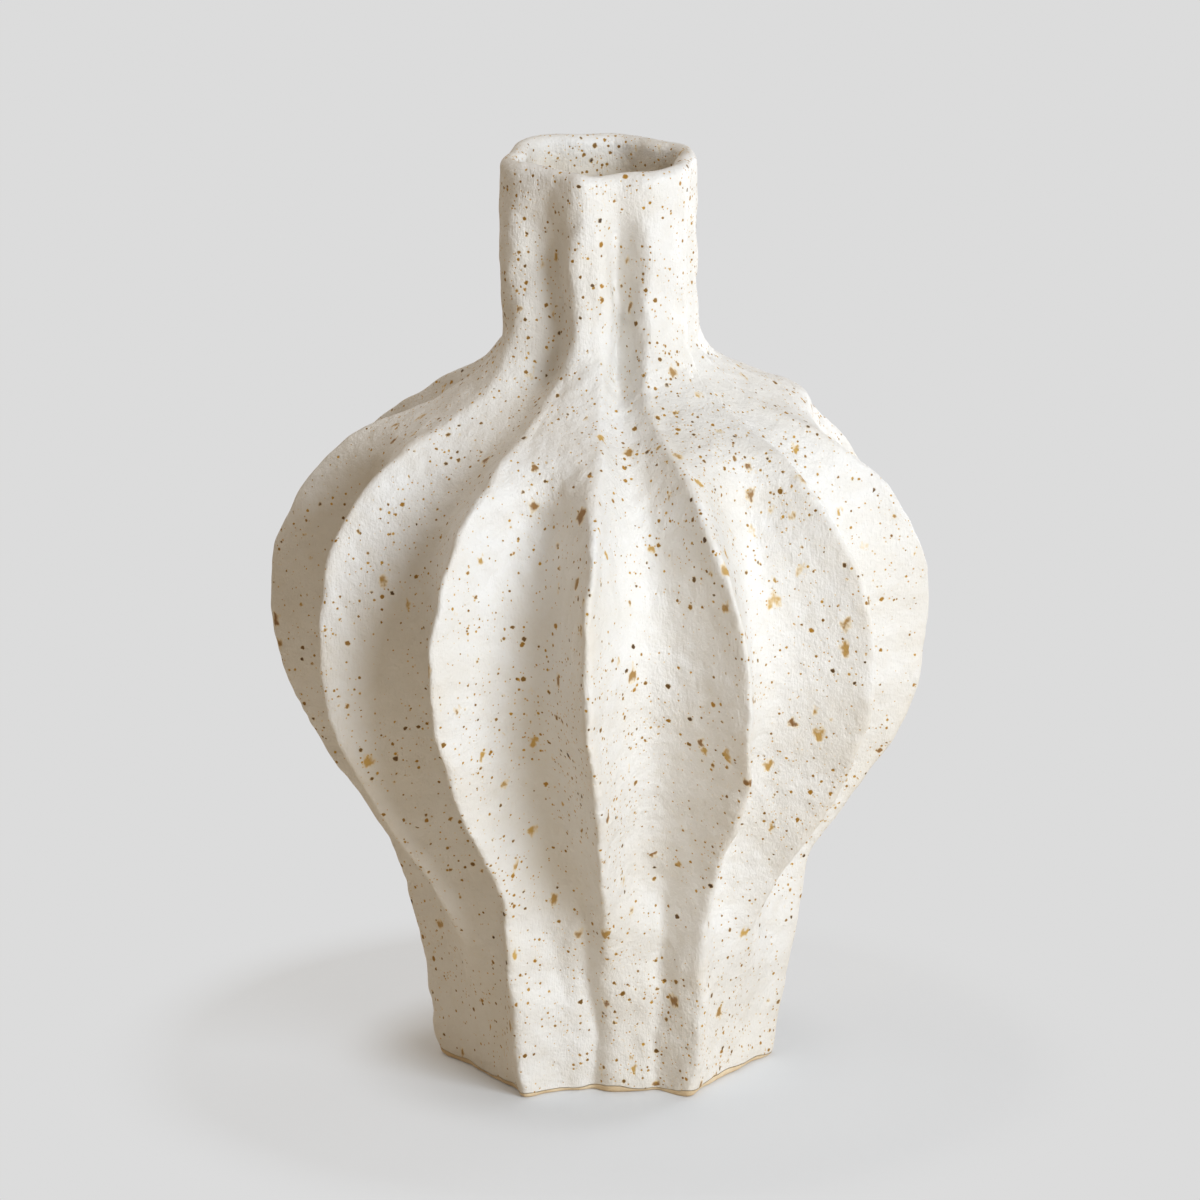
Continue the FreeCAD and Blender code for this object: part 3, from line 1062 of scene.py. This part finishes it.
@dataclass(frozen=True)
class SpeckShape:
    """Shape of all iron specks: round cells that show by chance, ragged at the edge.

    The rags are noise whose features are as long as some share of the radius.
    Each speck's own radius lies between the least share of the given one and
    that plus the span.
    """

    rag_share: float = 1.3
    rag_detail: float = 2.0
    least_share: float = 0.45
    span_share: float = 0.9

    def group(self) -> bpy.types.NodeTree:
        """The node group.

        Returns:
            The group. Spacing and radius are in metres. Its outputs are a mask, and a
            random tone that is the same all over one speck.
        """
        group = bpy.data.node_groups.new("iron_specks", "ShaderNodeTree")
        group.interface.new_socket("Place", in_out="INPUT", socket_type="NodeSocketVector")
        for name in ("Spacing", "Radius", "Chance", "Ragged", "Softness"):
            group.interface.new_socket(name, in_out="INPUT", socket_type="NodeSocketFloat")
        for name in ("Mask", "Tone"):
            group.interface.new_socket(name, in_out="OUTPUT", socket_type="NodeSocketFloat")
        board = NodeBoard(group)
        given = board.add("NodeGroupInput").outputs
        rag_scale = board.math("DIVIDE", 1.0, board.math("MULTIPLY", given["Radius"], self.rag_share))
        rags = board.add("ShaderNodeTexNoise")
        board.feed(rags, Vector=given["Place"], Scale=rag_scale, Detail=self.rag_detail)
        centred = board.vector("SUBTRACT", rags.outputs["Color"], (0.5, 0.5, 0.5))
        pushed = board.add("ShaderNodeVectorMath", centred, operation="SCALE")
        board.feed(pushed, Scale=board.math("MULTIPLY", given["Radius"], given["Ragged"]))
        moved = board.vector("ADD", given["Place"], pushed.outputs[0])
        cells = board.add("ShaderNodeTexVoronoi", feature="F1", distance="EUCLIDEAN")
        board.feed(cells, Vector=moved, Scale=board.math("DIVIDE", 1.0, given["Spacing"]), Randomness=1.0)
        show, size, tone = board.add("ShaderNodeSeparateColor", cells.outputs["Color"]).outputs
        shown = board.math("LESS_THAN", show, given["Chance"])
        share = board.math("DIVIDE", given["Radius"], given["Spacing"])
        grown = board.math("MULTIPLY_ADD", size, self.span_share, self.least_share)
        reach = board.math("MULTIPLY", share, grown)
        core = board.math("MULTIPLY", reach, board.math("SUBTRACT", 1.0, given["Softness"]))
        mask = board.fit(cells.outputs["Distance"], core, reach, 1.0, 0.0)
        board.feed(board.add("NodeGroupOutput"), Mask=board.math("MULTIPLY", mask, shown), Tone=tone)
        return group


@dataclass(frozen=True)
class SpeckKind:
    """One size of iron speck, which bleeds ochre into the glaze round it."""

    spacing: float
    radius: float
    chance: float
    ragged: float
    softness: float
    dark: Colour
    light: Colour
    strength: float
    stretch: tuple[float, float, float] = (1.0, 1.0, 1.0)
    bleed: Colour = (0.78, 0.54, 0.16)
    bleed_band: Band = (0.25, 0.95)

    def lay(
        self, board: NodeBoard, group: bpy.types.NodeTree, place: Socket, crowd: Socket, colour: Socket
    ) -> tuple[Socket, Socket]:
        """Lay the specks over a colour.

        Args:
            board: The tree to build in.
            group: The speck group.
            place: Coordinates of the pattern.
            crowd: Factor that thins or thickens them from place to place.
            colour: Colour below.

        Returns:
            The colour with specks, and their mask.
        """
        node = board.add("ShaderNodeGroup", node_tree=group)
        chance = board.math("MULTIPLY", crowd, self.chance)
        board.feed(node, Place=board.vector("MULTIPLY", place, self.stretch), Spacing=self.spacing,
                   Radius=self.radius, Chance=chance, Ragged=self.ragged, Softness=self.softness)
        tint = board.blend(node.outputs["Tone"], opaque(self.dark), opaque(self.light))
        tint = board.blend(board.fit(node.outputs["Mask"], *self.bleed_band), opaque(self.bleed), tint)
        mask = board.math("MULTIPLY", node.outputs["Mask"], self.strength)
        return board.blend(mask, colour, tint), mask


IRON_SPECKS = (
    SpeckKind(spacing=1.4 * MM, radius=0.34 * MM, chance=0.56, ragged=0.7, softness=0.6,
              dark=(0.46, 0.22, 0.03), light=(0.64, 0.40, 0.12), strength=0.9),
    SpeckKind(spacing=2.0 * MM, radius=0.50 * MM, chance=0.44, ragged=0.9, softness=0.45,
              dark=(0.20, 0.085, 0.003), light=(0.55, 0.30, 0.03), strength=1.0),
    SpeckKind(spacing=3.2 * MM, radius=0.80 * MM, chance=0.30, ragged=1.2, softness=0.45,
              dark=(0.06, 0.024, 0.002), light=(0.42, 0.20, 0.01), strength=1.0),
    SpeckKind(spacing=7.0 * MM, radius=1.75 * MM, chance=0.36, ragged=2.2, softness=0.6,
              dark=(0.24, 0.10, 0.005), light=(0.60, 0.36, 0.07), strength=0.95, stretch=(1.0, 1.0, 0.72)),
)


@dataclass(frozen=True)
class SpeckledGlaze:
    """Satin off-white glaze over iron-rich clay, brushed on in upright strokes."""

    name: str = "speckled_glaze"
    white: Colour = (0.82, 0.805, 0.78)
    warm: Colour = (0.77, 0.735, 0.675)
    edge: Colour = (0.72, 0.62, 0.48)
    # Warm, darker tint multiplied over the inside of the wall: painted shade, not a different glaze.
    inside: Colour = (1.0, 0.94, 0.84)
    cloud: Pattern = Pattern(38 * MM, low=0.35, high=0.75, most=0.75)
    mottle: Pattern = Pattern(7 * MM, detail=4.0, rough=0.6, low=0.42, high=0.68, most=0.5)
    wear: Pattern = Pattern(16 * MM, low=0.42, high=0.66, most=0.2)
    crowding: Pattern = Pattern(30 * MM, detail=2.0, least=0.35, most=1.6)
    neck: Band = (185 * MM, 225 * MM)
    neck_crowding: float = 1.4
    brush: Pattern = Pattern(0.5 * MM, detail=2.0, rough=0.6)
    brush_stretch: tuple[float, float, float] = (1.0, 1.0, 0.15)
    brush_height: float = 0.46
    swell: Pattern = Pattern(4 * MM, rough=0.55)
    swell_height: float = 1.6
    grain: Pattern = Pattern(0.9 * MM, rough=0.6)
    grain_height: float = 0.6
    pit_depth: float = 0.25
    sheen_band: Band = (0.3, 0.7)
    roughness: Band = (0.44, 0.60)
    relief: float = 0.8
    relief_depth: float = 0.5 * MM
    ior: float = 1.48

    def height(self, board: NodeBoard, place: Socket, pits: Socket) -> Socket:
        """Fine height: brush strokes, swell and grain added up, less the specks' pits.

        Args:
            board: The material's tree.
            place: Coordinates of the patterns.
            pits: Mask of the specks.

        Returns:
            Its output socket.
        """
        strokes = self.brush.noise(board, board.vector("MULTIPLY", place, self.brush_stretch))
        height = board.math("MULTIPLY", strokes, self.brush_height)
        for pattern, share in ((self.swell, self.swell_height), (self.grain, self.grain_height)):
            height = board.math("ADD", height, board.math("MULTIPLY", pattern.noise(board, place), share))
        return board.math("SUBTRACT", height, board.math("MULTIPLY", pits, self.pit_depth))

    def surface(self, board: NodeBoard, group: bpy.types.NodeTree) -> tuple[Socket, Socket, Socket]:
        """Colour, roughness and height of the glaze.

        Args:
            board: The material's tree.
            group: The speck group.

        Returns:
            Output sockets for the three.
        """
        place = board.add("ShaderNodeTexCoord").outputs["Object"]
        mottle = self.mottle.noise(board, place)
        colour = board.blend(self.cloud.read(board, place), opaque(self.white), opaque(self.warm))
        colour = board.blend(self.mottle.spread(board, mottle), colour, opaque(self.warm))
        edge = board.add("ShaderNodeAttribute", attribute_name="edge").outputs["Fac"]
        worn = board.math("MULTIPLY", edge, self.wear.read(board, place))
        colour = board.blend(worn, colour, opaque(self.edge))
        # Painted shade: the rows marked -1 for inside are multiplied by the warm inside tint.
        colour = board.blend(board.fit(edge, -1.0, 0.0, 1.0, 0.0), colour, opaque(self.inside), "MULTIPLY")
        up = board.add("ShaderNodeSeparateXYZ", place).outputs["Z"]
        thicker = board.fit(up, *self.neck, 1.0, self.neck_crowding)
        crowd = board.math("MULTIPLY", self.crowding.read(board, place), thicker)
        pits = 0.0
        for kind in IRON_SPECKS:
            colour, mask = kind.lay(board, group, place, crowd, colour)
            pits = board.math("MAXIMUM", mask, pits)
        rough = board.fit(mottle, *self.sheen_band, *self.roughness)
        return colour, rough, self.height(board, place, pits)

    def bump(self, board: NodeBoard, height: Socket) -> Socket:
        """Normal of a surface with a fine height on it."""
        node = board.add("ShaderNodeBump")
        board.feed(node, Height=height, Strength=self.relief, Distance=self.relief_depth)
        return node.outputs[0]

    def make(self, group: bpy.types.NodeTree) -> bpy.types.Material:
        """The finished material.

        Args:
            group: The speck group.

        Returns:
            The material.
        """
        material, board = new_material(self.name)
        shader = material.node_tree.nodes["Principled BSDF"]
        colour, rough, height = self.surface(board, group)
        board.feed(shader, Base_Color=colour, Roughness=rough, Normal=self.bump(board, height), IOR=self.ior)
        return material


@dataclass(frozen=True)
class BareClay:
    """Unglazed buff clay round the foot, under an uneven edge of glaze."""

    name: str = "bare_clay"
    buff: Colour = (0.68, 0.53, 0.34)
    pale: Colour = (0.78, 0.65, 0.46)
    cloud: Pattern = Pattern(6 * MM)
    grain: Pattern = Pattern(0.8 * MM, detail=4.0, rough=0.6, low=0.5, high=0.8, most=0.5)
    roughness: float = 0.85
    band_height: float = 1.6 * MM
    waver: Pattern = Pattern(22 * MM, detail=2.0, least=-0.8 * MM, most=0.8 * MM)
    edge_width: float = 0.35 * MM
    glaze_step: float = 0.8

    def make(self, group: bpy.types.NodeTree, glaze: SpeckledGlaze) -> bpy.types.Material:
        """The finished material, which turns to the glaze above the bare band.

        Args:
            group: The speck group.
            glaze: The glaze above the band.

        Returns:
            The material.
        """
        material, board = new_material(self.name)
        shader = material.node_tree.nodes["Principled BSDF"]
        colour, rough, height = glaze.surface(board, group)
        place = board.add("ShaderNodeTexCoord").outputs["Object"]
        clay = board.blend(self.cloud.read(board, place), opaque(self.buff), opaque(self.pale))
        clay = board.blend(self.grain.read(board, place), clay, opaque(self.buff))
        up = board.add("ShaderNodeSeparateXYZ", place).outputs["Z"]
        line = board.math("ADD", self.waver.read(board, place), self.band_height)
        over = board.fit(board.math("SUBTRACT", up, line), 0.0, self.edge_width)
        step = board.math("MULTIPLY", over, self.glaze_step)
        height = board.math("ADD", board.math("MULTIPLY", height, over), step)
        mixed = board.add("ShaderNodeMix", over, data_type="FLOAT")
        board.plug(mixed.inputs[2], self.roughness)
        board.plug(mixed.inputs[3], rough)
        board.feed(shader, Base_Color=board.blend(over, clay, colour), Roughness=mixed.outputs[0],
                   Normal=glaze.bump(board, height), IOR=glaze.ior)
        return material


def hung(name: str, data: bpy.types.ID, aim: Vector, angles: Angles, distance: float) -> bpy.types.Object:
    """A lamp or camera hung round the vase, facing its aim.

    Args:
        name: The object's name.
        data: Its lamp or camera data.
        aim: Point that it faces.
        angles: Azimuth from the front towards +X, and elevation, in degrees.
        distance: Distance from the aim.

    Returns:
        The new object, linked to the scene.
    """
    turn, lift = (math.radians(angle) for angle in angles)
    away = Vector((math.sin(turn) * math.cos(lift), -math.cos(turn) * math.cos(lift), math.sin(lift)))
    thing = placed(name, data)
    thing.location = aim + away * distance
    thing.rotation_euler = (-away).to_track_quat("-Z", "Y").to_euler()
    return thing


@dataclass(frozen=True)
class SoftBox:
    """One round studio lamp, aimed at the middle of the vase."""

    name: str
    angles: Angles
    size: float
    power: float
    colour: Colour
    distance: float = 1.3

    def place(self, aim: Vector) -> None:
        """Hang the lamp at its angle and distance from the aim, facing it."""
        data = bpy.data.lights.new(self.name, "AREA")
        data.shape = "DISK"
        data.size = self.size
        data.energy = self.power
        data.color = self.colour
        hung(self.name, data, aim, self.angles, self.distance)


@dataclass
class Studio:
    """Floor, backdrop, soft light and the photograph's camera."""

    height: float
    elevation: float = 13.5
    camera_distance: float = 1.6
    lens: float = 160.0
    aim_share: float = 0.509
    backdrop: float = 0.715
    fill: Colour = (0.262, 0.206, 0.142)
    floor_size: float = 8.0
    floor_roughness: float = 0.9
    floor_tone: Colour = (0.765, 0.785, 0.81)
    floor_glow: Colour = (0.74, 0.66, 0.54)
    near_fade: Band = (0.05, 0.085)
    near_shares: Band = (0.1, 0.7)
    far_fade: Band = (0.07, 0.16)
    lamps: tuple[SoftBox, ...] = (
        SoftBox("key", angles=(38, 21), size=0.7, power=15.0, colour=(0.83, 0.91, 1.0)),
        SoftBox("right_rim", angles=(134, 9), size=0.6, power=6.6, colour=(0.87, 0.93, 1.0)),
        SoftBox("left_rim", angles=(-125, 62), size=0.6, power=3.2, colour=(1.0, 0.95, 0.88)),
    )

    def build(self) -> None:
        """Set up everything round the vase."""
        aim = Vector((0, 0, self.height / 2))
        for lamp in self.lamps:
            lamp.place(aim)
        self.floor()
        self.world()
        self.camera()
        bpy.context.scene.view_settings.view_transform = "Standard"

    def floor(self) -> None:
        """A wide floor that keeps the shadow near the vase and fades into the backdrop's tone."""
        half = self.floor_size / 2
        spots = [(x * half, y * half, 0) for x, y in ((-1, -1), (1, -1), (1, 1), (-1, 1))]
        mesh = bpy.data.meshes.new("floor")
        mesh.from_pydata(spots, [], [(0, 1, 2, 3)])
        mesh.materials.append(self.floor_material())
        floor = placed("floor", mesh)
        floor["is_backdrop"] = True

    def floor_material(self) -> bpy.types.Material:
        """The floor's matte tone near the vase, and the backdrop's own tone further off.

        The camera sees it slightly cool. The light that it throws back is warm.

        Returns:
            The material.
        """
        material, board = new_material("studio_floor")
        shader = material.node_tree.nodes["Principled BSDF"]
        camera_ray = board.add("ShaderNodeLightPath").outputs["Is Camera Ray"]
        tone = board.blend(camera_ray, opaque(self.floor_glow), opaque(self.floor_tone))
        board.feed(shader, Base_Color=tone, Roughness=self.floor_roughness)
        glow = board.feed(board.add("ShaderNodeEmission"), Color=grey(self.backdrop), Strength=1.0)
        place = board.add("ShaderNodeTexCoord").outputs["Object"]
        away = board.add("ShaderNodeVectorMath", place, operation="LENGTH").outputs["Value"]
        near = board.fit(away, *self.near_fade, *self.near_shares)
        far = board.math("MAXIMUM", near, board.fit(away, *self.far_fade))
        share = board.math("MULTIPLY", far, camera_ray)
        mix = board.add("ShaderNodeMixShader", share, shader.outputs[0], glow.outputs[0])
        board.feed(material.node_tree.nodes["Material Output"], Surface=mix.outputs[0])
        return material

    def world(self) -> None:
        """Even, slightly warm fill light. The camera sees the backdrop's tone instead."""
        world = bpy.data.worlds.new("studio")
        bpy.context.scene.world = world
        world.use_nodes = True
        board = NodeBoard(world.node_tree)
        path = board.add("ShaderNodeLightPath").outputs
        seen = board.math("MAXIMUM", path["Is Camera Ray"], path["Is Glossy Ray"])
        seen = board.math("MAXIMUM", seen, path["Is Transmission Ray"])
        colour = board.blend(seen, opaque(self.fill), grey(self.backdrop))
        board.feed(world.node_tree.nodes["Background"], Color=colour, Strength=1.0)

    def camera(self) -> None:
        """The photograph's long, slightly raised view of the whole vase."""
        data = bpy.data.cameras.new("camera")
        data.lens = self.lens
        aim = Vector((0, 0, self.height * self.aim_share))
        bpy.context.scene.camera = hung("camera", data, aim, (0, self.elevation), self.camera_distance)


def main() -> None:
    """Build the vase piece by piece, then its studio."""
    cad_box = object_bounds()
    height = cad_box[1].z
    radius = (cad_box[1].x - cad_box[0].x + cad_box[1].y - cad_box[0].y) / 4
    form = WallForm(height=height, belly_radius=radius)
    slab_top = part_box("base_slab")[1].z
    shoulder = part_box("neck_collar")[0].z
    lip_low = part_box("lip_coil")[0].z

    specks = SpeckShape().group()
    glaze = SpeckledGlaze()
    glazed = glaze.make(specks)
    clay = BareClay().make(specks, glaze)

    skin = Skin(form, slab_top, shoulder, lip_low)
    foot = Foot(skin)
    foot.slab(clay)
    foot.coil(glazed)
    FanWall(skin).build(glazed)
    Neck(skin).build(glazed)

    Studio(height).build()


if __name__ == "__main__":
    main()
